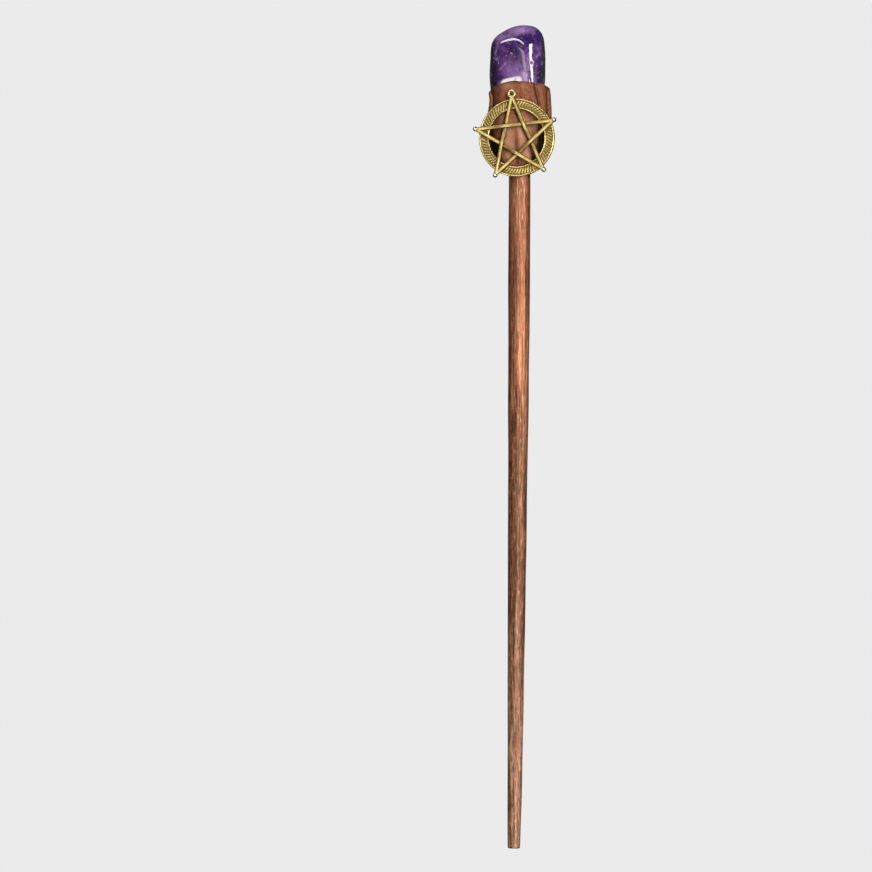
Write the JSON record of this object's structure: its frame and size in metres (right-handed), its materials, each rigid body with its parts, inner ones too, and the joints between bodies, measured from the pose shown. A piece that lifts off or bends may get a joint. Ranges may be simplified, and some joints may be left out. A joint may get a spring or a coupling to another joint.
{
  "type": "crystal magic wand",
  "caption": "Straight tapered wooden wand with a tumbled crystal held in a moulded petal calyx and a woven star medallion on its front.",
  "frame": {"origin": "on the shaft's axis at the middle of the hand that holds it, 240 mm above the tip", "axes": "+Z runs from the tip to the crystal, the medallion faces -Y, +X is to the right of the medallion"},
  "size_m": [0.0367, 0.0285, 0.35],
  "materials": {
    "stained_wood": "satin",
    "brown_clay": "satin",
    "amethyst_stone": "polished",
    "clear_glue": "gloss",
    "antique_brass": "antique, rubbed bright on the high edges"
  },
  "bodies": {
    "root": {"shaft": "stained_wood", "calyx_core": "brown_clay", "petal_front": "brown_clay", "petal_right": "brown_clay", "petal_back_right": "brown_clay", "petal_back_left": "brown_clay", "petal_left": "brown_clay", "stone_bedding": "clear_glue", "amethyst": "amethyst_stone", "medallion_glue": "clear_glue", "medallion_ring": "antique_brass", "star_strip_1": "antique_brass", "star_strip_2": "antique_brass", "star_strip_3": "antique_brass", "star_strip_4": "antique_brass", "star_strip_5": "antique_brass", "hanging_eye": "antique_brass", "tip_bead_1": "antique_brass", "tip_bead_2": "antique_brass", "tip_bead_3": "antique_brass", "tip_bead_4": "antique_brass"}
  },
  "joints": []
}
